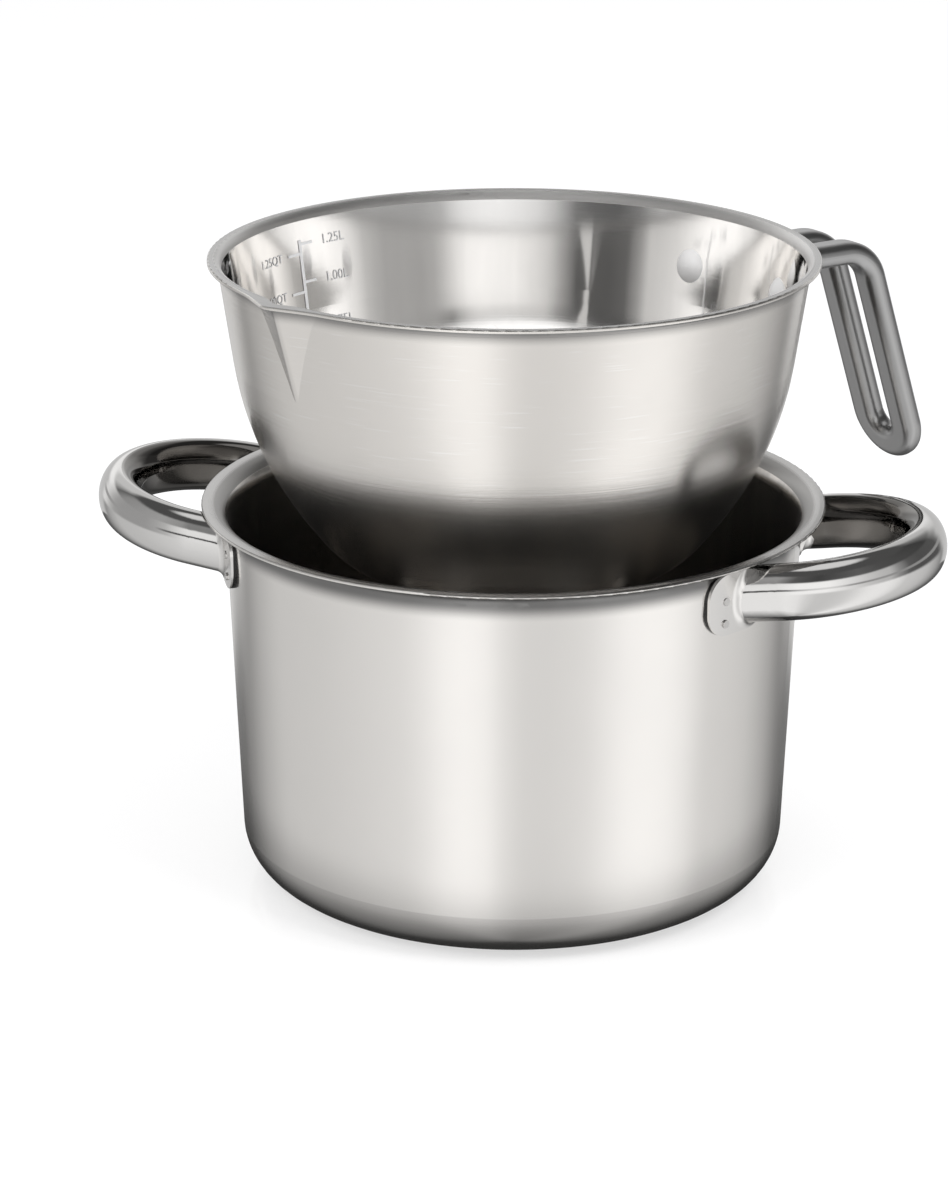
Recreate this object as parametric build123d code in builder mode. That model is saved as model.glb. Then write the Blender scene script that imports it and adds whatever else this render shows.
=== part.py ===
from build123d import *
from math import atan2, cos, degrees, radians, sin, sqrt, tan
import os

# A steel double boiler: a pot with two loop handles, and a bowl with a spout and one long
# handle, shown lifted above the pot. Millimetres, origin at the centre of the pot's base on
# the floor, +Z up, +X along the line of the pot's two handles.

# Pot shell. The rim's width is from the line of the tapered wall to the rim's edge, and the
# taper is how much the wall's radius shrinks from the rim to the floor.
pot_height = 111.0
pot_rim_diameter = 177.4
pot_rim_width = 6.45
pot_wall_taper = 4.25
pot_base_corner = 15.0
pot_rim_flare = 5.0
pot_rim_edge = 0.45
pot_wall = 1.0

# Pot handles: oval tubes, bent round a half circle and rising a little outwards.
handle_arm_spacing = 66.5
handle_arm_length = 1.91
handle_tube_width = 11.6
handle_tube_height = 16.0
handle_tube_wall = 1.0
handle_root_drop = 10.1
handle_rise_angle = 8.0

# Feet: plates at the tube ends, lying on the pot's wall, each with a hollow-faced collar
# that runs up round the tube.
foot_width = 23.45
foot_height = 17.7
foot_drop = 12.05
foot_thickness = 1.5
foot_corner = 7.0
foot_margin = 1.0
foot_collar_size = 2.7
weld_diameter = 2.2
weld_spacing = 6.4
weld_proud = 0.35
weld_inset = 6.4
weld_drop = 14.2

# Bowl shell. Its mouth is a little wider than the pot's. The shoulder is where the two
# straight slopes of the wall would meet, and its inset is measured from the mouth.
bowl_mouth_excess = 0.5
bowl_rim_width = 2.7
bowl_shoulder_inset = 7.75
bowl_shoulder_depth = 54.7
bowl_slope_straight = 5.4
bowl_floor_diameter = 93.6
bowl_floor_corner = 30.0
bowl_depth = 91.0
bowl_rim_fillet = 1.3
bowl_rim_edge = 0.45
bowl_wall = 1.0
bowl_shown_lift = 70.7

# Spout: a pinched beak in the rim that fades into the wall.
spout_reach = 4.2
spout_half_width = 13.5
spout_length = 30.0
spout_nose_radius = 3.0
spout_flare_radius = 60.0
spout_turn = 238.5
spout_sector_turn = 40.0

# Bowl handle: a flat loop with a slot, bent down from its two arms.
bowl_handle_turn = 49.5
bowl_handle_drop = 12.0
bowl_handle_reach = 35.05
bowl_handle_bend = 12.0
bowl_handle_slope = 18.6
bowl_handle_length = 72.4
bowl_handle_width = 27.4
bowl_handle_arm_width = 9.7
bowl_handle_thickness = 6.8
bowl_handle_edge = 3.1

# Bracket and rivets that hold the bowl handle.
bracket_width = 57.0
bracket_height = 19.0
bracket_thickness = 1.8
bracket_corner = 5.0
rivet_spacing = 43.0
rivet_depth = 18.0
rivet_head_diameter = 10.0
rivet_head_height = 2.0
rivet_shank_diameter = 5.0
rivet_tail_diameter = 8.0
rivet_tail_height = 1.5

fit = 0.05
overrun = 5.0

# Worked out from the sizes above.
pot_mouth_diameter = pot_rim_diameter - 2 * pot_rim_width
pot_base_diameter = pot_mouth_diameter - 2 * pot_wall_taper
pot_wall_slope = pot_wall_taper / (pot_height - pot_wall)
bowl_mouth_diameter = pot_mouth_diameter + 2 * bowl_mouth_excess
bowl_rim_diameter = bowl_mouth_diameter + 2 * bowl_rim_width
bowl_shoulder_diameter = bowl_mouth_diameter - 2 * bowl_shoulder_inset
bowl_rim_height = pot_height + bowl_shown_lift
bowl_wall_slope = bowl_shoulder_inset / (bowl_shoulder_depth - bowl_wall)
bowl_handle_elbow = bowl_mouth_diameter / 2 + bowl_handle_reach

os.makedirs("parts", exist_ok=True)


def pot_outer_radius(height):
    """Outer radius of the pot's tapered wall at a height above the floor."""
    return pot_base_diameter / 2 + pot_wall_slope * height


def bowl_outer_radius(depth):
    """Outer radius of the straight part of the bowl's wall at a depth below its rim."""
    return bowl_mouth_diameter / 2 - bowl_wall_slope * (depth - bowl_wall)


def outward(turn):
    """Unit vector that points out from the axis at an angle round it."""
    return Vector(cos(radians(turn)), sin(radians(turn)), 0)


def sideways(turn):
    """Unit vector along the wall, square to the outward one."""
    return Vector(-sin(radians(turn)), cos(radians(turn)), 0)


def upright_plane(turn, height=0.0):
    """Plane that holds the axis: x points outwards, y points up."""
    return Plane(origin=(0, 0, height), x_dir=outward(turn), z_dir=-sideways(turn))


def facing_plane(turn, height=0.0):
    """Plane through the axis that faces outwards: x runs along the wall, y points up."""
    return Plane(origin=(0, 0, height), x_dir=sideways(turn), z_dir=outward(turn))


def rivet_plane(rivet_side):
    """Plane on the bowl's outer surface, square to the wall, at one of the two rivets."""
    half_turn = degrees(rivet_spacing / 2 / bowl_outer_radius(rivet_depth))
    turn = bowl_handle_turn + rivet_side * half_turn
    place = outward(turn) * bowl_outer_radius(rivet_depth)
    place += Vector(0, 0, bowl_rim_height - rivet_depth)
    wall_normal = outward(turn) - Vector(0, 0, bowl_wall_slope)
    return Plane(origin=place, x_dir=sideways(turn), z_dir=wall_normal)


# Pot shell.
pot_outline = [
    (0, 0),
    (pot_base_diameter / 2, 0),
    (pot_mouth_diameter / 2, pot_height - pot_wall),
    (pot_rim_diameter / 2, pot_height - pot_wall),
]
pot_outline_radii = [pot_base_corner, pot_rim_flare]

with BuildPart() as pot_shell:
    with BuildSketch(Plane.XZ):
        with BuildLine():
            FilletPolyline(*pot_outline, radius=pot_outline_radii)
            offset(amount=pot_wall, side=Side.LEFT)
        make_face()
    revolve(axis=Axis.Z)
    rim_edges = pot_shell.edges().filter_by(GeomType.CIRCLE).sort_by(SortBy.RADIUS)[-2:]
    fillet(rim_edges, pot_rim_edge)
pot_shell.part.label = "pot_shell"
export_step(pot_shell.part, "parts/pot_shell.step")

# Everything within the pot's outer surface, to trim what lies on the wall.
with BuildPart() as pot_outside:
    with BuildSketch(Plane.XZ):
        with BuildLine():
            FilletPolyline(*pot_outline, radius=pot_outline_radii)
            Polyline(
                pot_outline[-1],
                (pot_rim_diameter / 2, pot_height),
                (0, pot_height),
                pot_outline[0],
            )
        make_face()
    revolve(axis=Axis.Z)

# The tapered surface that the outer faces of the feet's plates lie in.
with BuildPart() as feet_outside:
    with BuildSketch(Plane.XZ):
        Polygon(
            (0, 0),
            (pot_outer_radius(0) + foot_thickness, 0),
            (pot_outer_radius(pot_height) + foot_thickness, pot_height),
            (0, pot_height),
            align=None,
        )
    revolve(axis=Axis.Z)

# Pot handles.
handle_root_height = pot_height - handle_root_drop
handle_root_radius = pot_outer_radius(handle_root_height) + foot_thickness
handle_bend_radius = handle_arm_spacing / 2
handle_hidden_length = handle_root_radius - sqrt(
    handle_root_radius**2 - (handle_bend_radius + handle_tube_width / 2) ** 2
)
handle_start = -(handle_hidden_length + overrun)
handle_rise = radians(handle_rise_angle)


def loop_plane(side_turn):
    """Plane of a pot handle's loop, from the middle of its root: x runs out along the arms."""
    up_and_out = outward(side_turn) * cos(handle_rise) + Vector(0, 0, sin(handle_rise))
    loop_normal = Vector(0, 0, cos(handle_rise)) - outward(side_turn) * sin(handle_rise)
    root = outward(side_turn) * handle_root_radius + Vector(0, 0, handle_root_height)
    return Plane(origin=root, x_dir=up_and_out, z_dir=loop_normal)


def arm_end_plane(side_turn, hand):
    """Plane square to one arm of a pot handle, at the arm's hidden end."""
    loop = loop_plane(side_turn)
    place = loop.from_local_coords(Vector(handle_start, hand * handle_bend_radius, 0))
    return Plane(origin=place, x_dir=loop.z_dir, z_dir=loop.x_dir)


for side, side_turn in (("right", 0), ("left", 180)):
    with BuildPart() as handle_tube:
        with BuildLine(loop_plane(side_turn)):
            front_arm = Line(
                (handle_start, -handle_bend_radius), (handle_arm_length, -handle_bend_radius)
            )
            loop_end = CenterArc((handle_arm_length, 0), handle_bend_radius, -90, 180)
            back_arm = Line(
                (handle_arm_length, handle_bend_radius), (handle_start, handle_bend_radius)
            )
        with BuildSketch(arm_end_plane(side_turn, -1)):
            Ellipse(handle_tube_height / 2, handle_tube_width / 2)
            Ellipse(
                handle_tube_height / 2 - handle_tube_wall,
                handle_tube_width / 2 - handle_tube_wall,
                mode=Mode.SUBTRACT,
            )
        sweep()
        add(feet_outside.part, mode=Mode.SUBTRACT)
    handle_tube.part.label = f"{side}_handle_tube"
    export_step(handle_tube.part, f"parts/{side}_handle_tube.step")

# Feet, each from just inside its tube end to a tab beyond it.
foot_centre_height = pot_height - foot_drop
weld_centre_height = pot_height - weld_drop
foot_radius = pot_outer_radius(foot_centre_height)
foot_inner_offset = handle_bend_radius - handle_tube_width / 2 - foot_margin
foot_turn = degrees((foot_inner_offset + foot_width / 2) / foot_radius)
weld_turn = degrees((foot_inner_offset + foot_width - weld_inset) / foot_radius)
foot_places = {
    "right_front": (0, -1),
    "right_back": (0, 1),
    "left_front": (180, 1),
    "left_back": (180, -1),
}

for foot_name, (side_turn, hand) in foot_places.items():
    turn = side_turn + hand * foot_turn
    welds_turn = side_turn + hand * weld_turn
    with BuildPart() as arm_rod:
        with BuildSketch(arm_end_plane(side_turn, hand)):
            Ellipse(handle_tube_height / 2, handle_tube_width / 2)
        extrude(amount=handle_arm_spacing)
    with BuildPart() as foot:
        add(feet_outside.part)
        add(arm_rod.part)
        fillet(foot.edges().filter_by(GeomType.BSPLINE), foot_collar_size)
        add(arm_rod.part, mode=Mode.SUBTRACT)
        add(feet_outside.part)
        with BuildSketch(facing_plane(turn, foot_centre_height)):
            RectangleRounded(foot_width, foot_height, foot_corner)
        extrude(amount=pot_rim_diameter, mode=Mode.INTERSECT)
        add(pot_outside.part, mode=Mode.SUBTRACT)
        with BuildSketch(facing_plane(welds_turn, weld_centre_height)):
            with GridLocations(0, weld_spacing, 1, 2):
                Circle(weld_diameter / 2 + fit)
        extrude(amount=foot_radius + overrun, mode=Mode.SUBTRACT)
    foot.part.label = f"{foot_name}_foot"
    export_step(foot.part, f"parts/{foot_name}_foot.step")

# Spot welds: eight round studs through the feet, on the wall.
weld_reach = pot_outer_radius(weld_centre_height) + foot_thickness + weld_proud

with BuildPart() as spot_welds:
    for side_turn, hand in foot_places.values():
        with BuildSketch(facing_plane(side_turn + hand * weld_turn, weld_centre_height)):
            with GridLocations(0, weld_spacing, 1, 2):
                Circle(weld_diameter / 2)
        extrude(amount=weld_reach)
    add(pot_outside.part, mode=Mode.SUBTRACT)
spot_welds.part.label = "spot_welds"
export_step(spot_welds.part, "parts/spot_welds.step")

# The shoulder's curve takes the slope below it, but for the floor corner's curve and a
# straight between the two.
bowl_slope_reach = (bowl_shoulder_diameter - bowl_floor_diameter) / 2
bowl_slope_height = bowl_depth - bowl_shoulder_depth
bowl_slope_angle = atan2(bowl_slope_height, bowl_slope_reach)
bowl_wall_angle = atan2(bowl_shoulder_depth - bowl_wall, bowl_shoulder_inset)
bowl_slope_length = sqrt(bowl_slope_reach**2 + bowl_slope_height**2)
bowl_shoulder_room = (
    bowl_slope_length - bowl_slope_straight - bowl_floor_corner * tan(bowl_slope_angle / 2)
)
bowl_shoulder_radius = bowl_shoulder_room / tan((bowl_wall_angle - bowl_slope_angle) / 2)

# Bowl shell: the outer form, less the inner one. Both have the spout's beak, which follows
# one straight crest down to where it sinks into the wall.
bowl_outline = [
    (0, -bowl_depth),
    (bowl_floor_diameter / 2, -bowl_depth),
    (bowl_shoulder_diameter / 2, -bowl_shoulder_depth),
    (bowl_mouth_diameter / 2, -bowl_wall),
    (bowl_rim_diameter / 2, -bowl_wall),
]
bowl_outline_radii = [bowl_floor_corner, bowl_shoulder_radius, bowl_rim_fillet]
bowl_plane = upright_plane(0, bowl_rim_height)
spout_tip = bowl_mouth_diameter / 2 + spout_reach
spout_root = sqrt((bowl_mouth_diameter / 2) ** 2 - spout_half_width**2)
spout_flank_slope = (spout_tip - spout_root) / spout_half_width
spout_flank_stretch = sqrt(1 + spout_flank_slope**2)
spout_sink = spout_tip - bowl_outer_radius(spout_length)
spout_crest = outward(spout_turn) * -spout_sink + Vector(0, 0, -spout_length)
spout_plane = Plane(
    origin=(0, 0, bowl_rim_height), x_dir=outward(spout_turn), z_dir=(0, 0, 1)
)


def beak(outset):
    """Corners of the beak seen from above, with its flanks moved outwards by outset."""
    tip = spout_tip + outset * spout_flank_stretch
    half_width = spout_half_width + overrun
    base = tip - half_width * spout_flank_slope
    return [(tip, 0), (base, half_width), (base, -half_width)]


def beaked_mouth(outset):
    """The mouth seen from above, moved outwards by outset: the part round the beak, whose
    flanks flare into the circle."""
    reach = bowl_rim_diameter
    half_reach = reach * tan(radians(spout_sector_turn))
    with BuildSketch(spout_plane) as mouth:
        Circle(bowl_mouth_diameter / 2 + outset)
        Polygon(*beak(outset), align=None)
        fillet(mouth.vertices().sort_by(Axis.X)[-3:-1], spout_flare_radius - outset)
        fillet(mouth.vertices().sort_by(Axis.X)[-1:], spout_nose_radius + outset)
        Polygon(
            (0, 0),
            (reach, half_reach),
            (reach, -half_reach),
            align=None,
            mode=Mode.INTERSECT,
        )
    return mouth.sketch


mouth_outside = beaked_mouth(0)
mouth_flange = beaked_mouth(bowl_rim_width)
mouth_inside = beaked_mouth(-bowl_wall)

with BuildPart() as bowl_shell:
    with BuildSketch(bowl_plane):
        with BuildLine():
            FilletPolyline(*bowl_outline, radius=bowl_outline_radii)
            Polyline(bowl_outline[-1], (bowl_rim_diameter / 2, 0), (0, 0), bowl_outline[0])
        make_face()
    revolve(axis=Axis.Z)
    extrude(mouth_outside, amount=spout_crest.length, dir=spout_crest.normalized())
    extrude(mouth_flange, amount=-bowl_wall)
    with BuildSketch(bowl_plane):
        with BuildLine() as bowl_lining:
            FilletPolyline(*bowl_outline, radius=bowl_outline_radii)
            offset(amount=bowl_wall, side=Side.LEFT, closed=False)
            Polyline(
                (bowl_rim_diameter / 2, 0),
                (bowl_rim_diameter / 2, overrun),
                (0, overrun),
                (0, bowl_wall - bowl_depth),
            )
        make_face()
    revolve(axis=Axis.Z, mode=Mode.SUBTRACT)
    extrude(
        mouth_inside,
        amount=spout_crest.length,
        dir=spout_crest.normalized(),
        mode=Mode.SUBTRACT,
    )
    rim_face = bowl_shell.faces().filter_by(Plane.XY).sort_by(Axis.Z)[-1]
    fillet(rim_face.outer_wire().edges(), bowl_rim_edge)
    # Rivet holes.
    for rivet_side in (-1, 1):
        with BuildSketch(rivet_plane(rivet_side)):
            Circle(rivet_shank_diameter / 2 + fit)
        extrude(amount=overrun, both=True, mode=Mode.SUBTRACT)
bowl_shell.part.label = "bowl_shell"
export_step(bowl_shell.part, "parts/bowl_shell.step")

# Bracket: a curved plate on the bowl's wall, where the wall is straight.
bracket_top = rivet_depth - bracket_height / 2
bracket_bottom = rivet_depth + bracket_height / 2
bracket_half_turn = degrees((bracket_width / 2 + overrun) / bowl_outer_radius(rivet_depth))

with BuildPart() as bowl_handle_bracket:
    with BuildSketch(upright_plane(bowl_handle_turn - bracket_half_turn, bowl_rim_height)):
        Polygon(
            (bowl_outer_radius(bracket_top), -bracket_top),
            (bowl_outer_radius(bracket_bottom), -bracket_bottom),
            (bowl_outer_radius(bracket_bottom) + bracket_thickness, -bracket_bottom),
            (bowl_outer_radius(bracket_top) + bracket_thickness, -bracket_top),
            align=None,
        )
    revolve(axis=Axis.Z, revolution_arc=2 * bracket_half_turn)
    with BuildSketch(facing_plane(bowl_handle_turn, bowl_rim_height - rivet_depth)):
        RectangleRounded(bracket_width, bracket_height, bracket_corner)
    extrude(amount=bowl_rim_diameter, mode=Mode.INTERSECT)
    for rivet_side in (-1, 1):
        with BuildSketch(rivet_plane(rivet_side)):
            Circle(rivet_shank_diameter / 2 + fit)
        extrude(amount=overrun, both=True, mode=Mode.SUBTRACT)
bowl_handle_bracket.part.label = "bowl_handle_bracket"
export_step(bowl_handle_bracket.part, "parts/bowl_handle_bracket.step")

# Everything within the bracket's outer surface, to end the handle's arms on it.
with BuildPart() as bracket_outside:
    with BuildSketch(bowl_plane):
        Polygon(
            (0, 0),
            (bowl_outer_radius(0) + bracket_thickness, 0),
            (bowl_outer_radius(bowl_shoulder_depth) + bracket_thickness, -bowl_shoulder_depth),
            (0, -bowl_shoulder_depth),
            align=None,
        )
    revolve(axis=Axis.Z)

# Bowl handle: a band along the side view, cut to the loop's outline, then rounded.
slope = radians(bowl_handle_slope)
elbow = outward(bowl_handle_turn) * bowl_handle_elbow
elbow += Vector(0, 0, bowl_rim_height - bowl_handle_drop)
band_start = bowl_outer_radius(bowl_handle_drop) - overrun
band_length = bowl_handle_length + overrun
band_end = (
    bowl_handle_elbow + band_length * sin(slope),
    -bowl_handle_drop - band_length * cos(slope),
)
loop_bottom = -(bowl_handle_length - bowl_handle_width / 2)
loop_top = bowl_handle_elbow * sin(slope)
loop_height = loop_top - loop_bottom
slot_width = bowl_handle_width - 2 * bowl_handle_arm_width
loop_face = Plane(
    origin=elbow,
    x_dir=sideways(bowl_handle_turn),
    z_dir=outward(bowl_handle_turn) * cos(slope) + Vector(0, 0, sin(slope)),
)

with BuildPart() as bowl_handle:
    with BuildSketch(upright_plane(bowl_handle_turn, bowl_rim_height)):
        with BuildLine():
            FilletPolyline(
                (band_start, -bowl_handle_drop),
                (bowl_handle_elbow, -bowl_handle_drop),
                band_end,
                radius=bowl_handle_bend,
            )
            offset(amount=bowl_handle_thickness / 2, side=Side.BOTH, kind=Kind.INTERSECTION)
        make_face()
    extrude(amount=bowl_handle_width / 2, both=True)
    with BuildSketch(loop_face):
        with Locations((0, loop_bottom)):
            Circle(bowl_handle_width / 2)
        with Locations((0, (loop_top + loop_bottom) / 2)):
            Rectangle(bowl_handle_width, loop_height)
        with Locations((0, loop_bottom)):
            Circle(slot_width / 2, mode=Mode.SUBTRACT)
        with Locations((0, (loop_top + loop_bottom) / 2)):
            Rectangle(slot_width, loop_height, mode=Mode.SUBTRACT)
    extrude(amount=bowl_handle_elbow, both=True, mode=Mode.INTERSECT)
    across = Axis(elbow, loop_face.x_dir)
    through = Axis(elbow, loop_face.z_dir)
    long_edges = bowl_handle.edges().filter_by(across, reverse=True)
    fillet(long_edges.filter_by(through, reverse=True), bowl_handle_edge)
    add(bracket_outside.part, mode=Mode.SUBTRACT)
bowl_handle.part.label = "bowl_handle"
export_step(bowl_handle.part, "parts/bowl_handle.step")

# Rivets: a domed head inside the bowl, a shank through wall and bracket, and a flat tail.
# Head and tail start halfway into the metal and are trimmed to it, so that they lie on it.
dome_radius = (rivet_head_diameter**2 / 4 + rivet_head_height**2) / (2 * rivet_head_height)
head_seat = -bowl_wall
tail_seat = bracket_thickness

with BuildPart() as bowl_rivets:
    for rivet_side in (-1, 1):
        rivet_face = rivet_plane(rivet_side)
        axis_plane = Plane(
            origin=rivet_face.origin, x_dir=rivet_face.x_dir, z_dir=-rivet_face.y_dir
        )
        with BuildSketch(axis_plane):
            with BuildLine():
                Line((0, head_seat - rivet_head_height), (0, tail_seat + rivet_tail_height))
                Polyline(
                    (0, tail_seat + rivet_tail_height),
                    (rivet_tail_diameter / 2, tail_seat + rivet_tail_height),
                    (rivet_tail_diameter / 2, tail_seat / 2),
                    (rivet_shank_diameter / 2, tail_seat / 2),
                    (rivet_shank_diameter / 2, head_seat / 2),
                    (rivet_head_diameter / 2, head_seat / 2),
                    (rivet_head_diameter / 2, head_seat),
                )
                RadiusArc(
                    (rivet_head_diameter / 2, head_seat),
                    (0, head_seat - rivet_head_height),
                    dome_radius,
                )
            make_face()
        revolve(axis=Axis(rivet_face.origin, rivet_face.z_dir))
    add(bowl_shell.part, mode=Mode.SUBTRACT)
    add(bowl_handle_bracket.part, mode=Mode.SUBTRACT)
bowl_rivets.part.label = "bowl_rivets"
export_step(bowl_rivets.part, "parts/bowl_rivets.step")
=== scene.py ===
import math

import bpy
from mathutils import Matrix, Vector
from mathutils.bvhtree import BVHTree


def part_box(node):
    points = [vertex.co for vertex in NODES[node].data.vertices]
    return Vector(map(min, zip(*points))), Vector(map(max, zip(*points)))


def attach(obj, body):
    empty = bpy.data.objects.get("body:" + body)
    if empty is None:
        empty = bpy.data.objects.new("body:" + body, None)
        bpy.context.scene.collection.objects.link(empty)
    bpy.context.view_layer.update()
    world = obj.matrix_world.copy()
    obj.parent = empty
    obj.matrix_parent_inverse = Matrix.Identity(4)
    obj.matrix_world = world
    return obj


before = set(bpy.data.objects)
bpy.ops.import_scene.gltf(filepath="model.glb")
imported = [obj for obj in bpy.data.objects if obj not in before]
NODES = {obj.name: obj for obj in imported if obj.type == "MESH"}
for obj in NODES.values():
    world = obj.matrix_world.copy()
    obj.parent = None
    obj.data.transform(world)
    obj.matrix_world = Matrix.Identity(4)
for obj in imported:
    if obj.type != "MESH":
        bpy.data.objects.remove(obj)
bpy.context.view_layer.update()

# A steel double boiler: a satin pot with mirror-polished tube handles, and a brushed bowl
# lifted above it. Metres, in the same frame as the CAD model.
POT_RIM_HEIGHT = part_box("pot_shell")[1][2]
BOWL_RIM_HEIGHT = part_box("bowl_shell")[1][2]

# Camera of the studio shot. Its side of the pot is also where the light panels' turns start.
CAMERA_PLACE = (0.26288, -0.92691, 0.40970)
CAMERA_TILT = math.radians(71.09)
CAMERA_TURN = math.radians(16.5)
CAMERA_LENS = 106.15
CAMERA_SENSOR = 36.0
CAMERA_SIDE = math.atan2(CAMERA_PLACE[1], CAMERA_PLACE[0])


# Node helpers.
def add_node(tree, kind, inputs=None, **settings):
    """A node of that kind, with its settings, and its inputs linked or set."""
    node = tree.nodes.new(kind)
    for name, value in settings.items():
        setattr(node, name, value)
    for name, value in (inputs or {}).items():
        if isinstance(value, bpy.types.NodeSocket):
            tree.links.new(value, node.inputs[name])
        else:
            node.inputs[name].default_value = value
    return node


def maths(tree, operation, *values):
    """The result of a maths node."""
    inputs = dict(enumerate(values))
    return add_node(tree, "ShaderNodeMath", inputs, operation=operation).outputs[0]


def vector_maths(tree, operation, *vectors):
    """The outputs of a vector maths node: Vector, or Value where the result is a number."""
    inputs = dict(enumerate(vectors))
    return add_node(tree, "ShaderNodeVectorMath", inputs, operation=operation).outputs


def ease(tree, value, start, end, low=0.0, high=1.0, curve="SMOOTHSTEP"):
    """The value mapped from start..end to low..high, along a smooth or a straight curve."""
    inputs = {"Value": value, "From Min": start, "From Max": end, "To Min": low, "To Max": high}
    node = add_node(tree, "ShaderNodeMapRange", inputs, interpolation_type=curve)
    return node.outputs["Result"]


def blend_values(tree, share, low, high):
    """A value between low and high."""
    inputs = {"Factor": share, "A": low, "B": high}
    return add_node(tree, "ShaderNodeMix", inputs, data_type="FLOAT").outputs["Result"]


def blend_colours(tree, share, low, high):
    """A colour between low and high. The colour sockets of a mix node are its inputs 6 and 7,
    and its output 2."""
    node = add_node(tree, "ShaderNodeMix", {0: share, 6: low, 7: high}, data_type="RGBA")
    return node.outputs[2]


def blend_shaders(tree, share, low, high):
    """A shader between low and high."""
    return add_node(tree, "ShaderNodeMixShader", {0: share, 1: low, 2: high}).outputs[0]


def split(tree, vector):
    """The X, Y and Z of a vector."""
    return add_node(tree, "ShaderNodeSeparateXYZ", {"Vector": vector}).outputs


def join(tree, x, y, z=0.0):
    """The vector of X, Y and Z."""
    return add_node(tree, "ShaderNodeCombineXYZ", {"X": x, "Y": y, "Z": z}).outputs[0]


def surface_place(tree):
    """The place of the shaded point, in the model's frame."""
    return add_node(tree, "ShaderNodeTexCoord").outputs["Object"]


def from_axis(tree):
    """The level vector from the pot's axis to the shaded point."""
    return vector_maths(tree, "MULTIPLY", surface_place(tree), (1.0, 1.0, 0.0))["Vector"]


def surface_normal(tree):
    """The direction that the surface faces."""
    return add_node(tree, "ShaderNodeNewGeometry").outputs["Normal"]


def facing(tree, direction):
    """How squarely the surface faces a direction, from -1 to 1."""
    unit = vector_maths(tree, "NORMALIZE", direction)["Vector"]
    return vector_maths(tree, "DOT_PRODUCT", surface_normal(tree), unit)["Value"]


def stretched_noise(tree, around, upward, detail=2.0, roughness=0.5):
    """Noise with its own fineness round the axis and up it, so that it can draw rings or
    upright streaks."""
    place = split(tree, surface_place(tree))
    vector = join(
        tree,
        maths(tree, "MULTIPLY", place["X"], around),
        maths(tree, "MULTIPLY", place["Y"], around),
        maths(tree, "MULTIPLY", place["Z"], upward),
    )
    inputs = {"Vector": vector, "Scale": 1.0, "Detail": detail, "Roughness": roughness}
    return add_node(tree, "ShaderNodeTexNoise", inputs).outputs["Fac"]


# Effects that several metals share. Each is a node group with named inputs and outputs.
def new_group(name, inputs, outputs):
    """A shader node group with value inputs and outputs, its inputs' sockets, and its end."""
    group = bpy.data.node_groups.new(name, "ShaderNodeTree")
    for socket, default in inputs.items():
        made = group.interface.new_socket(socket, in_out="INPUT", socket_type="NodeSocketFloat")
        made.default_value = default
    for socket in outputs:
        group.interface.new_socket(socket, in_out="OUTPUT", socket_type="NodeSocketFloat")
    given = group.nodes.new("NodeGroupInput").outputs
    return group, given, group.nodes.new("NodeGroupOutput")


def put_out(group, end, name, value):
    """Sends a value to a group's output."""
    group.links.new(value, end.inputs[name])


def make_ring_lines():
    """Brushed rings round the axis: fine lines, and rarer bright hairlines."""
    group, given, end = new_group(
        "Ring Lines",
        {"Lines per Metre": 2600.0, "Waves per Metre": 14.0, "Hairlines": 0.5},
        ("Height", "Hairline"),
    )
    lines, waves = given["Lines per Metre"], given["Waves per Metre"]
    coarse_lines = maths(group, "MULTIPLY", lines, 0.31)
    fine = stretched_noise(group, waves, lines, detail=3.0, roughness=0.7)
    coarse = stretched_noise(group, waves, coarse_lines, detail=2.0, roughness=0.6)
    put_out(group, end, "Height", blend_values(group, 0.4, fine, coarse))
    dash_waves = maths(group, "MULTIPLY", waves, 5.0)
    dashes = stretched_noise(group, dash_waves, lines, detail=1.0, roughness=0.5)
    sharp = ease(group, dashes, start=0.64, end=0.76)
    put_out(group, end, "Hairline", maths(group, "MULTIPLY", sharp, given["Hairlines"]))
    return group


def make_hand_marks():
    """Soft cloudy marks of wiping and handling, and sparse fine scratches."""
    group, given, end = new_group(
        "Hand Marks", {"Patches per Metre": 28.0, "Scratches": 0.5}, ("Cloud", "Scratch")
    )
    patches = given["Patches per Metre"]
    cloud = stretched_noise(group, patches, patches, detail=4.0, roughness=0.6)
    put_out(group, end, "Cloud", ease(group, cloud, start=0.35, end=0.7))
    slanted = add_node(
        group,
        "ShaderNodeMapping",
        {
            "Vector": surface_place(group),
            "Rotation": (0.5, 0.9, 0.3),
            "Scale": (60.0, 1900.0, 240.0),
        },
    )
    lines = add_node(
        group,
        "ShaderNodeTexNoise",
        {"Vector": slanted.outputs[0], "Scale": 1.0, "Detail": 1.0},
    )
    scratch = ease(group, lines.outputs["Fac"], start=0.7, end=0.78)
    put_out(group, end, "Scratch", maths(group, "MULTIPLY", scratch, given["Scratches"]))
    return group


def make_inner_side():
    """A mask of the faces that look at the axis or up: the inside of a shell."""
    group, _, end = new_group("Inner Side", {}, ("Inside",))
    upright = split(group, surface_normal(group))["Z"]
    balance = maths(group, "SUBTRACT", upright, facing(group, from_axis(group)))
    put_out(group, end, "Inside", ease(group, balance, start=-0.05, end=0.05))
    return group


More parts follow.
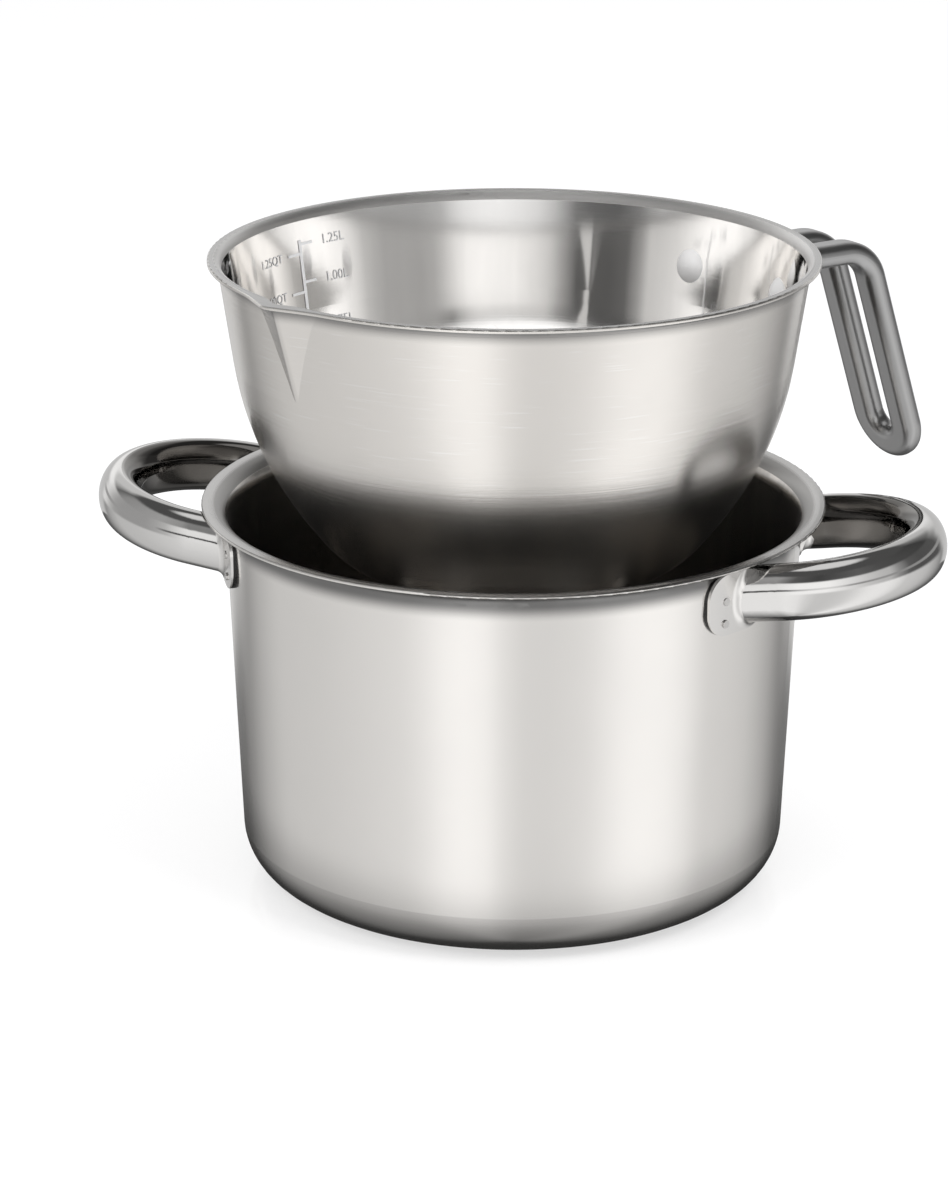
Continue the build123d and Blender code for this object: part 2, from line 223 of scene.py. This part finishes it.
def make_under_rim():
    """Masks of the band right under a rim, and of the rim's own top millimetres, where the
    wall curves over to it. The band fades in from Clear Depth to Full Depth and leaves out the
    rim's edge."""
    group, given, end = new_group(
        "Under Rim",
        {"Rim Height": 0.1, "Clear Depth": 0.006, "Full Depth": 0.001, "Edge Depth": 0.0009},
        ("Band", "Curve"),
    )
    height = split(group, surface_place(group))["Z"]
    depth = maths(group, "SUBTRACT", given["Rim Height"], height)
    band = ease(group, depth, given["Clear Depth"], given["Full Depth"])
    below_edge = maths(group, "GREATER_THAN", depth, given["Edge Depth"])
    put_out(group, end, "Band", maths(group, "MULTIPLY", band, below_edge))
    curve_depth = maths(group, "MULTIPLY", given["Edge Depth"], 3.0)
    put_out(group, end, "Curve", maths(group, "LESS_THAN", depth, curve_depth))
    return group


def make_flat_top():
    """A mask of the level faces that look up above a height: the flat of a rim."""
    group, given, end = new_group("Flat Top", {"Least Height": 0.1}, ("Flat",))
    level = ease(group, split(group, surface_normal(group))["Z"], start=0.93, end=0.99)
    height = split(group, surface_place(group))["Z"]
    above = maths(group, "GREATER_THAN", height, given["Least Height"])
    put_out(group, end, "Flat", maths(group, "MULTIPLY", level, above))
    return group


def make_reflection_streaks():
    """Soft upright streaks of painted reflection: lighter bands that stand in for upright
    reflections.
    """
    group, given, end = new_group(
        "Painted Reflection Streaks", {"Streaks per Metre": 90.0, "Rise per Metre": 7.0}, ("Streak",)
    )
    streak = stretched_noise(
        group, given["Streaks per Metre"], given["Rise per Metre"], detail=3.0, roughness=0.65
    )
    put_out(group, end, "Streak", ease(group, streak, start=0.36, end=0.68))
    return group


def make_loop_inside():
    """A mask of the faces of a bent tube that look at the middle of its loop."""
    group, given, end = new_group("Loop Inside", {"Middle X": 0.1, "Middle Y": 0.0}, ("Inward",))
    place = split(group, surface_place(group))
    to_middle = join(
        group,
        maths(group, "SUBTRACT", given["Middle X"], place["X"]),
        maths(group, "SUBTRACT", given["Middle Y"], place["Y"]),
    )
    put_out(group, end, "Inward", ease(group, facing(group, to_middle), start=0.0, end=0.35))
    return group


def make_plate_edge():
    """A mask of the narrow sides of a plate that lies on a wall: near the wall, and not
    facing out from the axis."""
    group, given, end = new_group("Plate Edge", {"Outer Radius": 0.085}, ("Edge",))
    radius = vector_maths(group, "LENGTH", from_axis(group))["Value"]
    near = maths(group, "LESS_THAN", radius, given["Outer Radius"])
    aside = ease(group, facing(group, from_axis(group)), start=0.55, end=0.25)
    put_out(group, end, "Edge", maths(group, "MULTIPLY", near, aside))
    return group


RING_LINES = make_ring_lines()
HAND_MARKS = make_hand_marks()
INNER_SIDE = make_inner_side()
UNDER_RIM = make_under_rim()
FLAT_TOP = make_flat_top()
REFLECTION_STREAKS = make_reflection_streaks()
LOOP_INSIDE = make_loop_inside()
PLATE_EDGE = make_plate_edge()


def place_group(tree, group, **values):
    """The outputs of a shared effect, placed with its own values."""
    node = tree.nodes.new("ShaderNodeGroup")
    node.node_tree = group
    for name, value in values.items():
        node.inputs[name.replace("_", " ")].default_value = value
    return node.outputs


# Metals.
def colour(level, warmth=0.0):
    """A grey with a little warmth, as red, green, blue and alpha."""
    return (level, level * (1 - 0.45 * warmth), level * (1 - warmth), 1.0)


QUARTER_TURN = 0.25
HANDLED_TINT = colour(0.62, 0.02)
HANDLED_SHADE = 0.12
HANDLED_ROUGHNESS = 0.02
SCRATCHED_ROUGHNESS = 0.06
LINE_HEIGHT = 0.0002
HAIRLINE_TINT = colour(0.95)
RIM_FLAT_DEPTH = 0.001


def start_metal(name, metallic=1.0, anisotropy=0.0):
    """A new material with one metal shader. The brushing runs in rings round the axis, so an
    anisotropic one smears what it mirrors up and down."""
    material = bpy.data.materials.new(name)
    material.use_nodes = True
    tree = material.node_tree
    tree.nodes.clear()
    shader = add_node(
        tree, "ShaderNodeBsdfPrincipled", {"Metallic": metallic, "Anisotropic": anisotropy}
    )
    if anisotropy:
        shader.inputs["Anisotropic Rotation"].default_value = QUARTER_TURN
        ring = add_node(tree, "ShaderNodeTangent", direction_type="RADIAL", axis="Z")
        tree.links.new(ring.outputs[0], shader.inputs["Tangent"])
    add_node(tree, "ShaderNodeOutputMaterial", {"Surface": shader.outputs[0]})
    return material, tree, shader


def finish_metal(tree, shader, tint, roughness, lines, line_depth, marks):
    """Joins colour, roughness and bump of a brushed or polished metal."""
    handled = blend_colours(tree, 0.5, tint, HANDLED_TINT)
    shade = maths(tree, "MULTIPLY", marks["Cloud"], HANDLED_SHADE)
    clouded = maths(tree, "MULTIPLY_ADD", marks["Cloud"], HANDLED_ROUGHNESS, roughness)
    scratches = maths(tree, "MULTIPLY", marks["Scratch"], SCRATCHED_ROUGHNESS)
    height = maths(tree, "MULTIPLY", lines["Height"], line_depth)
    bump = add_node(
        tree, "ShaderNodeBump", {"Strength": 1.0, "Distance": LINE_HEIGHT, "Height": height}
    )
    tree.links.new(blend_colours(tree, shade, tint, handled), shader.inputs["Base Color"])
    tree.links.new(maths(tree, "ADD", clouded, scratches), shader.inputs["Roughness"])
    tree.links.new(bump.outputs[0], shader.inputs["Normal"])


def shell_steel(name, rim_height, anisotropy, outside, inside, curve, rim):
    """Steel of a shell whose outside, inside and rim have their own finish.

    outside and inside have a tint, a roughness and a line depth. outside also has its share of
    hairlines. inside also has the tint of its painted reflection streaks, and a deep tint of
    painted shade that takes over between its shallow depth and its deep depth. curve is the
    finish where the inside curves over to the rim, its tint painted shade. rim has the tint and
    roughness of its flat, that tint painted shade, and the painted shaded tint of the outer wall
    right under it, which is clear at one depth and full at another."""
    material, tree, shader = start_metal(name, anisotropy=anisotropy)
    within = place_group(tree, INNER_SIDE)["Inside"]
    lines = place_group(tree, RING_LINES, Hairlines=outside["hairlines"])
    marks = place_group(tree, HAND_MARKS, Scratches=0.4)
    under_rim = place_group(
        tree,
        UNDER_RIM,
        Rim_Height=rim_height,
        Clear_Depth=rim["clear_depth"],
        Full_Depth=rim["full_depth"],
    )
    shallow = place_group(
        tree,
        UNDER_RIM,
        Rim_Height=rim_height,
        Clear_Depth=inside["deep_depth"],
        Full_Depth=inside["shallow_depth"],
    )["Band"]
    flat = place_group(tree, FLAT_TOP, Least_Height=rim_height - RIM_FLAT_DEPTH)["Flat"]
    streak = place_group(tree, REFLECTION_STREAKS)["Streak"]
    curve_within = maths(tree, "MULTIPLY", under_rim["Curve"], within)

    hairline = maths(tree, "MULTIPLY", lines["Hairline"], maths(tree, "SUBTRACT", 1.0, within))
    walls = blend_colours(tree, hairline, outside["tint"], HAIRLINE_TINT)
    walls = blend_colours(tree, under_rim["Band"], walls, rim["shaded_tint"])
    # Painted reflection: lighter upright streaks on the inside.
    lining = blend_colours(tree, streak, inside["tint"], inside["reflection_streak_tint"])
    # Painted shade: the deep tint darkens the inside towards the bottom.
    lining = blend_colours(tree, shallow, inside["deep_shade_tint"], lining)
    tint = blend_colours(tree, within, walls, lining)
    # Painted shade: the darker tint of the inner lip, where the inside curves over to the rim.
    tint = blend_colours(tree, curve_within, tint, curve["tint"])
    # Painted shade: the rim's flat gets its darker tint.
    tint = blend_colours(tree, flat, tint, rim["tint"])

    roughness = blend_values(tree, within, outside["roughness"], inside["roughness"])
    roughness = blend_values(tree, curve_within, roughness, curve["roughness"])
    roughness = blend_values(tree, flat, roughness, rim["roughness"])
    depth = blend_values(tree, within, outside["line_depth"], inside["line_depth"])
    depth = blend_values(tree, under_rim["Curve"], depth, 0.0)
    finish_metal(tree, shader, tint, roughness, lines, depth, marks)
    return material


def plain_steel(
    name, tint, roughness, lines_per_metre, line_depth, metallic=1.0, painted_shade=None, painted_shade_tint=None
):
    """Steel of one finish all over, but for a tint of painted shade where a mask's output says
    so.
    """
    material, tree, shader = start_metal(name, metallic)
    lines = place_group(
        tree, RING_LINES, Lines_per_Metre=lines_per_metre, Waves_per_Metre=90.0, Hairlines=0.0
    )
    marks = place_group(tree, HAND_MARKS, Patches_per_Metre=60.0, Scratches=0.4)
    if painted_shade:
        mask, output, values = painted_shade
        share = place_group(tree, mask, **values)[output]
        tint = blend_colours(tree, share, tint, painted_shade_tint)
    finish_metal(tree, shader, tint, roughness, lines, line_depth, marks)
    return material


def tube_steel(node_name):
    """Mirror-polished steel of a loop handle, with painted shade on the faces inside the loop."""
    low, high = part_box(node_name)
    middle = {"Middle_X": (low[0] + high[0]) / 2, "Middle_Y": (low[1] + high[1]) / 2}
    return plain_steel(
        f"{node_name}_steel",
        colour(0.70, 0.03),
        roughness=0.06,
        lines_per_metre=300.0,
        line_depth=0.01,
        painted_shade=(LOOP_INSIDE, "Inward", middle),
        painted_shade_tint=colour(0.16, 0.10),
    )


POT_STEEL = shell_steel(
    "satin_pot_steel",
    POT_RIM_HEIGHT,
    anisotropy=0.7,
    outside={
        "tint": colour(0.84, 0.06),
        "roughness": 0.17,
        "line_depth": 0.02,
        "hairlines": 0.0,
    },
    # Painted light inside: the tints are painted shade, darker than the outside and darker still
    # towards the bottom, with lighter upright streaks of painted reflection.
    inside={
        "tint": colour(0.54, 0.08),
        "roughness": 0.20,
        "line_depth": 0.04,
        "reflection_streak_tint": colour(0.74, 0.11),
        "deep_shade_tint": colour(0.38, 0.10),
        "deep_depth": 0.075,
        "shallow_depth": 0.020,
    },
    # Painted shade: the inner lip, where the inside curves over to the rim, is dark.
    curve={"tint": colour(0.30, 0.06), "roughness": 0.30},
    # Painted shade: the rim's flat tint is darker than the wall.
    rim={
        "tint": colour(0.44, 0.04),
        "roughness": 0.24,
        "shaded_tint": colour(0.20, 0.03),
        "clear_depth": 0.0098,
        "full_depth": 0.0050,
    },
)
BOWL_STEEL = shell_steel(
    "brushed_bowl_steel",
    BOWL_RIM_HEIGHT,
    anisotropy=0.85,
    outside={
        "tint": colour(0.83, 0.08),
        "roughness": 0.21,
        "line_depth": 0.28,
        "hairlines": 0.35,
    },
    inside={
        "tint": colour(0.94, 0.03),
        "roughness": 0.06,
        "line_depth": 0.02,
        "reflection_streak_tint": colour(0.92, 0.03),
        "deep_shade_tint": colour(0.90, 0.03),
        "deep_depth": 0.090,
        "shallow_depth": 0.080,
    },
    curve={"tint": colour(0.90, 0.03), "roughness": 0.50},
    # Painted shade: the rim's flat tint is darker than the wall.
    rim={
        "tint": colour(0.44, 0.03),
        "roughness": 0.24,
        "shaded_tint": colour(0.22, 0.03),
        "clear_depth": 0.0056,
        "full_depth": 0.0010,
    },
)

# The feet's narrow sides get painted shade where they meet the pot's wall: less far from the
# axis than the rim's edge by this much or more.
RIM_OVERHANG = 0.0061
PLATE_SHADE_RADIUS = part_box("pot_shell")[1][0] - RIM_OVERHANG
FOOT_STEEL = plain_steel(
    "pressed_foot_steel",
    colour(0.80, 0.04),
    roughness=0.22,
    lines_per_metre=900.0,
    line_depth=0.04,
    painted_shade=(PLATE_EDGE, "Edge", {"Outer_Radius": PLATE_SHADE_RADIUS}),
    painted_shade_tint=colour(0.03, 0.05),
)
WELD_STEEL = plain_steel(
    "spot_weld_steel",
    colour(0.70, 0.04),
    roughness=0.35,
    lines_per_metre=900.0,
    line_depth=0.04,
)
LOOP_STEEL = plain_steel(
    "satin_loop_steel",
    colour(0.41, 0.01),
    roughness=0.30,
    lines_per_metre=1200.0,
    line_depth=0.08,
)
# Tumbled rivets look pale and nearly matt.
RIVET_STEEL = plain_steel(
    "rivet_steel",
    colour(0.98, 0.02),
    roughness=0.45,
    lines_per_metre=1500.0,
    line_depth=0.06,
    metallic=0.2,
)

FINISHES = {
    "pot_shell": POT_STEEL,
    "bowl_shell": BOWL_STEEL,
    "right_handle_tube": tube_steel("right_handle_tube"),
    "left_handle_tube": tube_steel("left_handle_tube"),
    "right_front_foot": FOOT_STEEL,
    "right_back_foot": FOOT_STEEL,
    "left_front_foot": FOOT_STEEL,
    "left_back_foot": FOOT_STEEL,
    "spot_welds": WELD_STEEL,
    "bowl_handle": LOOP_STEEL,
    "bowl_handle_bracket": LOOP_STEEL,
    "bowl_rivets": RIVET_STEEL,
}
for node_name, finish in FINISHES.items():
    for slot in NODES[node_name].material_slots:
        slot.material = finish


# Measuring marks, etched inside the bowl.
STEEL_LEVEL = 0.5
ETCHED_SHARE = 0.85


def mark_etching(name, level):
    """Frosted pale etching, a little uneven, without the steel's gloss."""
    material, tree, shader = start_metal(name, metallic=0.0)
    worn_level = ETCHED_SHARE * level + (1 - ETCHED_SHARE) * STEEL_LEVEL
    cloud = place_group(tree, HAND_MARKS, Patches_per_Metre=900.0, Scratches=0.0)["Cloud"]
    uneven = blend_colours(tree, cloud, colour(level), colour(worn_level))
    tree.links.new(uneven, shader.inputs["Base Color"])
    tree.links.new(blend_values(tree, cloud, 0.50, 0.60), shader.inputs["Roughness"])
    return material


LINE_ETCHING = mark_etching("etched_lines", 0.99)
NUMBER_ETCHING = mark_etching("etched_numbers", 0.76)
BOWL_INSIDE = BVHTree.FromPolygons(
    [v.co for v in NODES["bowl_shell"].data.vertices],
    [p.vertices for p in NODES["bowl_shell"].data.polygons],
)
MARK_TURN = math.radians(157.2)
MARK_FILM = 0.00015


def on_bowl_wall(sideways, depth):
    """The point on the bowl's inner wall at that distance right of the scale's bar and that
    depth under the rim, as someone looking at the wall sees it. The second cast uses the
    distance that the first one found."""
    height = BOWL_RIM_HEIGHT - depth
    turn = MARK_TURN
    for _ in range(2):
        ray = Vector((math.cos(turn), math.sin(turn), 0))
        hit, normal, _, distance = BOWL_INSIDE.ray_cast(Vector((0, 0, height)), ray)
        turn = MARK_TURN - sideways / distance
    if normal.dot(ray) > 0:
        normal = -normal
    return hit + normal * MARK_FILM


def wrap_on_wall(name, material, corners, faces):
    """A flat drawing, as (right, depth) corners and faces, laid on the bowl's inner wall."""
    mesh = bpy.data.meshes.new(name)
    mesh.from_pydata([on_bowl_wall(*corner) for corner in corners], [], faces)
    mesh.materials.append(material)
    piece = bpy.data.objects.new(name, mesh)
    bpy.context.scene.collection.objects.link(piece)
    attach(piece, "bowl")


def stroke(left, right, top, bottom, steps):
    """Corners and faces of an upright or level stroke, cut in steps down or across."""
    corners = []
    upright = bottom - top > right - left
    for i in range(steps + 1):
        share = i / steps
        if upright:
            depth = top + (bottom - top) * share
            corners += [(left, depth), (right, depth)]
        else:
            side = left + (right - left) * share
            corners += [(side, top), (side, bottom)]
    faces = [(2 * i, 2 * i + 1, 2 * i + 3, 2 * i + 2) for i in range(steps)]
    return corners, faces


def lettering(text, size):
    """Corners and faces of a line of text, with its middle at zero and depth downwards."""
    curve = bpy.data.curves.new("lettering", "FONT")
    curve.body = text
    curve.size = size
    curve.align_x = "CENTER"
    curve.align_y = "CENTER"
    holder = bpy.data.objects.new("lettering", curve)
    mesh = bpy.data.meshes.new_from_object(holder)
    corners = [(v.co.x, -v.co.y) for v in mesh.vertices]
    faces = [tuple(p.vertices) for p in mesh.polygons]
    bpy.data.objects.remove(holder)
    return corners, faces


def join_drawings(drawings):
    """One list of corners and one of faces out of several."""
    corners, faces = [], []
    for more_corners, more_faces in drawings:
        faces += [tuple(i + len(corners) for i in face) for face in more_faces]
        corners += more_corners
    return corners, faces


def shifted(drawing, sideways, depth):
    """A drawing moved right and down."""
    corners, faces = drawing
    return [(x + sideways, y + depth) for x, y in corners], faces


# Depths under the rim of the litre and quart marks, from the bowl's volume. Litre ticks and
# numbers are right of the bar, quart ones left.
LITRE_DEPTHS = {"1.25L": 0.0094, "1.00L": 0.0205, "0.75L": 0.0337, "0.50L": 0.0477}
QUART_DEPTHS = {"1.25QT": 0.0121, "1.00QT": 0.0233, "0.75QT": 0.0359, "0.50QT": 0.0494}
BAR_TOP, BAR_FOOT = 0.0082, 0.0500
BAR_HALF = 0.0006
TICK_END = 0.0052
TICK_HALF = 0.0004
BAR_STEPS, TICK_STEPS = 40, 6
LITRE_SIZE, LITRE_MIDDLE = 0.0040, 0.0132
QUART_SIZE, QUART_MIDDLE = 0.0036, -0.0142

strokes = [stroke(-BAR_HALF, BAR_HALF, BAR_TOP, BAR_FOOT, BAR_STEPS)]
for depth in LITRE_DEPTHS.values():
    strokes.append(stroke(BAR_HALF, TICK_END, depth - TICK_HALF, depth + TICK_HALF, TICK_STEPS))
for depth in QUART_DEPTHS.values():
    far_end = -TICK_END - BAR_HALF
    strokes.append(stroke(far_end, -BAR_HALF, depth - TICK_HALF, depth + TICK_HALF, TICK_STEPS))
wrap_on_wall("scale_lines", LINE_ETCHING, *join_drawings(strokes))
numbers = [
    shifted(lettering(text, LITRE_SIZE), LITRE_MIDDLE, depth)
    for text, depth in LITRE_DEPTHS.items()
]
numbers += [
    shifted(lettering(text, QUART_SIZE), QUART_MIDDLE, depth)
    for text, depth in QUART_DEPTHS.items()
]
wrap_on_wall("scale_numbers", NUMBER_ETCHING, *join_drawings(numbers))


# Floor. Distances are from the middle of the pot's base.
FLOOR_HALF = 4.0
FLOOR_DROP = 0.0002
FLOOR_PAINT = (0.5, 0.5, 0.5, 1)
FLOOR_GLOW = 0.60
MIRROR_ROUGHNESS = 0.05
MIRROR_SHARE = 0.07
MIRROR_FULL, MIRROR_GONE = 0.085, 0.20
# Painted shadow that the steel's reflections see on the floor near the pot.
SHADOW_VEIL_LEVEL = 0.20
SHADOW_VEIL_FULL, SHADOW_VEIL_GONE = 0.076, 0.124


def floor_material():
    """White floor that keeps a soft shadow and mirrors the pot faintly near its base. What the
    steel mirrors goes through the floor to the studio's low panels, dimmed near the pot by a
    painted shadow."""
    material = bpy.data.materials.new("studio_floor")
    material.use_nodes = True
    tree = material.node_tree
    tree.nodes.clear()
    distance = vector_maths(tree, "LENGTH", surface_place(tree))["Value"]
    white = (1, 1, 1, 1)
    paint = add_node(tree, "ShaderNodeBsdfDiffuse", {"Color": FLOOR_PAINT}).outputs[0]
    glow_inputs = {"Color": white, "Strength": FLOOR_GLOW}
    glow = add_node(tree, "ShaderNodeEmission", glow_inputs).outputs[0]
    paper = add_node(tree, "ShaderNodeAddShader", {0: paint, 1: glow}).outputs[0]
    mirror_inputs = {"Color": white, "Roughness": MIRROR_ROUGHNESS}
    mirror = add_node(tree, "ShaderNodeBsdfGlossy", mirror_inputs).outputs[0]
    mirror_share = ease(tree, distance, MIRROR_FULL, MIRROR_GONE, MIRROR_SHARE, 0.0)
    seen = blend_shaders(tree, mirror_share, paper, mirror)
    # Painted shadow, seen only in the steel's reflections.
    shadow_dimming = ease(tree, distance, SHADOW_VEIL_FULL, SHADOW_VEIL_GONE, SHADOW_VEIL_LEVEL, 1.0, curve="LINEAR")
    shadow_veil_colour = join(tree, shadow_dimming, shadow_dimming, shadow_dimming)
    shadow_veil = add_node(tree, "ShaderNodeBsdfTransparent", {"Color": shadow_veil_colour}).outputs[0]
    in_steel = add_node(tree, "ShaderNodeLightPath").outputs["Is Glossy Ray"]
    surface = blend_shaders(tree, in_steel, seen, shadow_veil)
    add_node(tree, "ShaderNodeOutputMaterial", {"Surface": surface})
    return material


floor_mesh = bpy.data.meshes.new("studio_floor")
floor_mesh.from_pydata(
    [
        (x * FLOOR_HALF, y * FLOOR_HALF, 0.0)
        for x, y in ((-1, -1), (1, -1), (1, 1), (-1, 1))
    ],
    [],
    [(0, 1, 2, 3)],
)
floor_mesh.materials.append(floor_material())
floor = bpy.data.objects.new("studio_floor", floor_mesh)
floor.location.z = -FLOOR_DROP
bpy.context.scene.collection.objects.link(floor)


# Studio light.
# Brightness of the light and dark panels round the set, in bands one above the other. Each
# entry is the turn in degrees from the camera's side, positive to the right, and the level.
LOW_PANELS = (
    (-150, 0.12), (-140, 0.26), (-125, 0.48), (-110, 0.65), (-85, 0.69), (-66, 0.75),
    (-46, 0.83), (-37, 0.93), (-28, 1.07), (-20, 1.12), (-11, 1.07), (-4, 0.90),
    (4, 0.78), (14, 0.77), (24, 0.81), (31, 0.86), (39, 0.97), (47, 1.08), (56, 1.12),
    (66, 1.10), (75, 1.00), (86, 0.78), (98, 0.74), (112, 0.66), (127, 0.47), (140, 0.26),
    (150, 0.12),
)
MIDDLE_PANELS = (
    (-180, 1.04), (-154, 1.12), (-141, 1.06), (-130, 0.82), (-121, 0.58), (-114, 0.46),
    (-103, 0.41), (-72, 0.42), (-61, 0.50), (-52, 0.60), (-46, 0.76), (-38, 0.93),
    (-31, 1.05), (-15, 1.22), (11, 1.22), (20, 1.10), (29, 0.98), (44, 0.78), (55, 0.68),
    (66, 0.62), (74, 0.36), (86, 0.13), (100, 0.10), (128, 0.11), (140, 0.36), (153, 0.70),
    (166, 0.86), (180, 1.04),
)
SLOT_PANELS = (
    (-180, 0.42), (-75, 0.42), (-62, 0.48), (-52, 0.20), (-43, 0.10), (-30, 0.10),
    (-25, 0.16), (-18, 0.42), (-10, 0.69), (-2, 0.83), (6, 0.91), (14, 0.90), (22, 0.78),
    (30, 0.45), (39, 0.37), (60, 0.40), (80, 0.36), (180, 0.36),
)
HIGH_PANELS = (
    (-180, 0.70), (-150, 0.70), (-140, 0.50), (-128, 0.16), (-112, 0.34), (-60, 0.45),
    (-38, 0.38), (-22, 0.12), (0, 0.07), (38, 0.14), (60, 0.10), (125, 0.06), (142, 0.25),
    (155, 0.60), (180, 0.70),
)
BACK_LEVEL = 0.64
ROOF_LEVEL = 0.09
ZENITH_LEVEL = 0.85
SKY_COLOUR = (0.72, 0.72, 0.73, 1)

# Where one band gives way to the next, as the sine of the angle above the horizon. Behind the
# set, from the two turns on, the low band ends lower and the middle one starts higher.
BEHIND_TURNS = (math.radians(132), math.radians(146))
FRONT_FOOT = (-0.20, -0.10)
BACK_FOOT = (-0.355, -0.335)
BACK_TOP = (0.16, 0.30)
SLOT_FOOT = (0.0, 0.025)
SLOT_TOP = (0.115, 0.085)
HIGH_FOOT = (0.375, 0.47)
ROOF_FOOT = (0.70, 0.80)
ZENITH_FOOT = (0.93, 0.975)


def panel_ramp(tree, turn_share, panels):
    """A ramp of the panels' levels round the set."""
    ramp = add_node(tree, "ShaderNodeValToRGB", {"Fac": turn_share})
    ramp.color_ramp.interpolation = "LINEAR"
    elements = ramp.color_ramp.elements
    while len(elements) > 1:
        elements.remove(elements[-1])
    for i, (turn, level) in enumerate(panels):
        place = turn / 360 + 0.5
        element = elements[0] if i == 0 else elements.new(place)
        element.position = place
        element.color = (level, level, level, 1.0)
    return ramp.outputs["Color"]


def light_studio():
    """White to the camera, an even sky for matt surfaces, and panels for the metal."""
    world = bpy.data.worlds.new("studio")
    bpy.context.scene.world = world
    world.use_nodes = True
    tree = world.node_tree
    tree.nodes.clear()
    direction = add_node(tree, "ShaderNodeTexCoord").outputs["Generated"]
    turned = add_node(
        tree,
        "ShaderNodeVectorRotate",
        {"Vector": direction, "Angle": -CAMERA_SIDE},
        rotation_type="Z_AXIS",
    )
    parts = split(tree, turned.outputs[0])
    rise = parts["Z"]
    turn = maths(tree, "ARCTAN2", parts["Y"], parts["X"])
    turn_share = maths(tree, "MULTIPLY_ADD", turn, 0.5 / math.pi, 0.5)
    low = panel_ramp(tree, turn_share, LOW_PANELS)
    middle = panel_ramp(tree, turn_share, MIDDLE_PANELS)
    slot = panel_ramp(tree, turn_share, SLOT_PANELS)
    high = panel_ramp(tree, turn_share, HIGH_PANELS)

    behind = ease(tree, maths(tree, "ABSOLUTE", turn), *BEHIND_TURNS)
    front_foot, back_foot = ease(tree, rise, *FRONT_FOOT), ease(tree, rise, *BACK_FOOT)
    above_low = blend_values(tree, behind, front_foot, back_foot)
    back = blend_colours(tree, ease(tree, rise, *BACK_TOP), colour(BACK_LEVEL), middle)
    in_slot = maths(tree, "MULTIPLY", ease(tree, rise, *SLOT_FOOT), ease(tree, rise, *SLOT_TOP))
    front = blend_colours(tree, in_slot, middle, slot)
    panels = blend_colours(tree, above_low, low, blend_colours(tree, behind, front, back))
    for foot, level in (
        (HIGH_FOOT, high),
        (ROOF_FOOT, colour(ROOF_LEVEL)),
        (ZENITH_FOOT, colour(ZENITH_LEVEL)),
    ):
        panels = blend_colours(tree, ease(tree, rise, *foot), panels, level)

    ray = add_node(tree, "ShaderNodeLightPath").outputs
    seen = blend_colours(tree, ray["Is Glossy Ray"], SKY_COLOUR, panels)
    seen = blend_colours(tree, ray["Is Camera Ray"], seen, (1, 1, 1, 1))
    background = add_node(tree, "ShaderNodeBackground", {"Color": seen, "Strength": 1.0})
    add_node(tree, "ShaderNodeOutputWorld", {"Surface": background.outputs[0]})


def add_lamp(name, place, aim, size, power):
    """A soft square lamp that only lights matt surfaces."""
    data = bpy.data.lights.new(name, "AREA")
    data.shape = "SQUARE"
    data.size = size
    data.energy = power
    lamp = bpy.data.objects.new(name, data)
    lamp.location = place
    lamp.rotation_euler = (Vector(aim) - Vector(place)).to_track_quat("-Z", "Y").to_euler()
    lamp.visible_glossy = False
    bpy.context.scene.collection.objects.link(lamp)


light_studio()
add_lamp("key_lamp", place=(0.95, -0.35, 1.35), aim=(0, 0, 0.05), size=0.7, power=9.0)
add_lamp("fill_lamp", place=(-0.50, -0.87, 0.95), aim=(0, 0, 0.15), size=0.6, power=5.0)

# Camera.
camera_data = bpy.data.cameras.new("camera")
camera_data.sensor_fit = "VERTICAL"
camera_data.sensor_height = CAMERA_SENSOR
camera_data.sensor_width = CAMERA_SENSOR
camera_data.lens = CAMERA_LENS
camera = bpy.data.objects.new("camera", camera_data)
camera.location = CAMERA_PLACE
camera.rotation_euler = (CAMERA_TILT, 0, CAMERA_TURN)
bpy.context.scene.collection.objects.link(camera)
bpy.context.scene.camera = camera
bpy.context.scene.view_settings.view_transform = "Standard"
